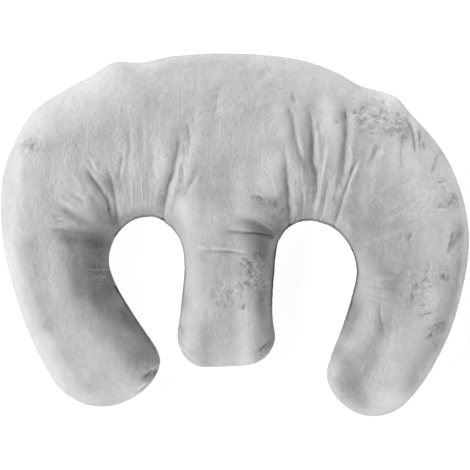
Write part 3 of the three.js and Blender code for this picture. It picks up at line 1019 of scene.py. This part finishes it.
pillow.data.polygons.foreach_set("use_smooth", [True] * len(pillow.data.polygons))


# One output of a node. Python's operators on it add Math nodes.
class Wire:
    def __init__(self, finish, socket):
        self.finish = finish
        self.socket = socket

    def __add__(self, other):
        return self.finish.math("ADD", self, other)

    def __radd__(self, other):
        return self.finish.math("ADD", other, self)

    def __sub__(self, other):
        return self.finish.math("SUBTRACT", self, other)

    def __rsub__(self, other):
        return self.finish.math("SUBTRACT", other, self)

    def __mul__(self, other):
        return self.finish.math("MULTIPLY", self, other)

    def __rmul__(self, other):
        return self.finish.math("MULTIPLY", other, self)


class Finish:
    def __init__(self, name):
        self.material = bpy.data.materials.new(name)
        self.material.use_nodes = True
        self.tree = self.material.node_tree
        self.tree.nodes.clear()

    # Adds a node: its kind, its settings, the values or wires of its sockets, and the output to go on with
    def add(self, kind, settings, sockets, output=0):
        node = self.tree.nodes.new("ShaderNode" + kind)
        for name, value in settings.items():
            setattr(node, name, value)
        for name, value in sockets.items():
            if isinstance(value, Wire):
                self.tree.links.new(value.socket, node.inputs[name])
            else:
                node.inputs[name].default_value = value
        return Wire(self, node.outputs[output]) if node.outputs else None

    def math(self, operation, first, second):
        return self.add("Math", {"operation": operation}, {0: first, 1: second})

    # Noise from -0.5 to 0.5 with features about as wide as size
    def noise(self, place, size, detail, distortion):
        sockets = {"Vector": place, "Scale": 1 / size, "Detail": detail, "Distortion": distortion}
        return self.add("TexNoise", {}, sockets) - 0.5

    def share(self, name, output="Fac"):
        return self.add("Attribute", {"attribute_name": name}, {}, output)


# Short plush: light grey pile that lies in brushed patches, with a bright nap at its edges
plush = {
    "dark": (0.25, 0.25, 0.255, 1),
    "light": (0.80, 0.80, 0.81, 1),
    "tone": 0.67,  # between the dark and the light
    "brushed": (1, 0.5, 1),  # the pile is brushed along y, so its patches are twice as long that way
    "patches": (26 * mm, 3, 1.5),  # size, finer layers and distortion of the noise, here and below
    "strokes": (8 * mm, 3, 1.0),
    "grain": (2.6 * mm, 2, 0.3),
    "combed": (1, 2, 0.6),  # in the streaks' own widths
    "blotches": (9 * mm, 3, 2.0),
    "curls": (10 * mm, 2, 1.5),
    "curlSharp": 6,  # how thin the curls of crushed pile are
    "patchTone": 0.22,
    "strokeTone": 0.34,
    "grainTone": 0.3,
    "streakTone": 0.65,
    "coreShadeTone": 0.42,
    "blotchTone": 1.3,
    "curlTone": 0.22,
    "strokeBump": 1.0,
    "grainBump": 0.9,
    "streakBump": 1.2,
    "bumpHeight": 1.2 * mm,
    "roughness": 0.92,
    "specular": 0.2,
    "sheen": 0.35,
    "sheenRoughness": 0.45,
}


def makePlush():
    finish = Finish("plush")
    place = finish.add("TexCoord", {}, {}, "Object")
    brushed = finish.add("Mapping", {}, {"Vector": place, "Scale": plush["brushed"]})
    patches = finish.noise(brushed, *plush["patches"])
    strokes = finish.noise(brushed, *plush["strokes"])
    grain = finish.noise(place, *plush["grain"])
    blotches = finish.noise(place, *plush["blotches"])
    # painted shade along crease cores and along the seam
    coreShade = finish.share("coreShade")
    crush = finish.share("crush")
    combed = finish.noise(finish.share("combed", "Vector"), *plush["combed"]) * finish.share("streak")
    curled = finish.math("ABSOLUTE", finish.noise(place, *plush["curls"]), 0)
    curls = finish.math("MAXIMUM", 1 - curled * plush["curlSharp"], 0)
    tone = plush["tone"] + patches * plush["patchTone"] + strokes * plush["strokeTone"]
    tone = tone + grain * plush["grainTone"] - coreShade * plush["coreShadeTone"]
    # nap strokes with painted shade and painted light, and the painted line of shade at the notches
    tone = tone + finish.share("napAndShade") + combed * plush["streakTone"]
    tone = tone + crush * (blotches * plush["blotchTone"] - curls * plush["curlTone"])
    # a Mix node takes its factor at socket 0 and two colours at 6 and 7, and gives their mix at 2
    colours = {0: tone, 6: plush["dark"], 7: plush["light"]}
    colour = finish.add("Mix", {"data_type": "RGBA", "clamp_factor": False}, colours, 2)
    height = strokes * plush["strokeBump"] + grain * plush["grainBump"] + combed * plush["streakBump"]
    normal = finish.add("Bump", {}, {"Height": height, "Distance": plush["bumpHeight"]})
    sockets = {
        "Base Color": colour,
        "Normal": normal,
        "Roughness": plush["roughness"],
        "Specular IOR Level": plush["specular"],
        "Sheen Weight": plush["sheen"],
        "Sheen Roughness": plush["sheenRoughness"],
    }
    shader = finish.add("BsdfPrincipled", {}, sockets)
    finish.add("OutputMaterial", {}, {"Surface": shader})
    return finish.material


pillow.data.materials.clear()
pillow.data.materials.append(makePlush())
print("plush made")

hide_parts("pillow")
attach(pillow, "root")

# The room: a pale floor, one soft window high on the left, and light all round near the horizon
room = {
    "floorSize": 12,
    "floorColour": (0.3, 0.3, 0.3, 1),
    "floorRoughness": 0.9,
    "floorGlow": 0.88,
    "keyPlace": (-3.8, 1.0, 4.6),
    "keySize": 2.8,
    "keyPower": 225,
    "skyColour": (1, 1, 1, 1),
    "horizonGlow": 3.6,
    "skyGlow": 0.15,
    "skyFrom": 0.35,  # sine of the height at which the horizon's light has faded
}


def makeKeyLight():
    data = bpy.data.lights.new("keyLight", "AREA")
    data.shape = "SQUARE"
    data.size = room["keySize"]
    data.energy = room["keyPower"]
    light = addObject("keyLight", data)
    light.location = room["keyPlace"]
    light.rotation_mode = "QUATERNION"
    light.rotation_quaternion = Vector(room["keyPlace"]).to_track_quat("Z", "Y")


def makeFloor():
    bm = bmesh.new()
    bmesh.ops.create_grid(bm, x_segments=1, y_segments=1, size=room["floorSize"] / 2)
    mesh = bpy.data.meshes.new("floor")
    bm.to_mesh(mesh)
    bm.free()
    floor = addObject("floor", mesh)
    finish = Finish("floorPaint")
    sockets = {
        "Base Color": room["floorColour"],
        "Roughness": room["floorRoughness"],
        "Emission Strength": room["floorGlow"],
    }
    shader = finish.add("BsdfPrincipled", {}, sockets)
    finish.add("OutputMaterial", {}, {"Surface": shader})
    mesh.materials.append(finish.material)


def makeSky():
    world = bpy.data.worlds.new("studio")
    world.use_nodes = True
    scene.world = world
    tree = world.node_tree
    background = tree.nodes["Background"]
    way = tree.nodes.new("ShaderNodeTexCoord")
    parts = tree.nodes.new("ShaderNodeSeparateXYZ")
    fade = tree.nodes.new("ShaderNodeMapRange")
    fade.inputs["From Max"].default_value = room["skyFrom"]
    fade.inputs["To Min"].default_value = room["horizonGlow"]
    fade.inputs["To Max"].default_value = room["skyGlow"]
    tree.links.new(way.outputs["Generated"], parts.inputs[0])
    tree.links.new(parts.outputs["Z"], fade.inputs["Value"])
    tree.links.new(fade.outputs[0], background.inputs["Strength"])
    background.inputs["Color"].default_value = room["skyColour"]


makeKeyLight()
makeFloor()
makeSky()
scene.view_settings.view_transform = "Standard"
print("room ready")
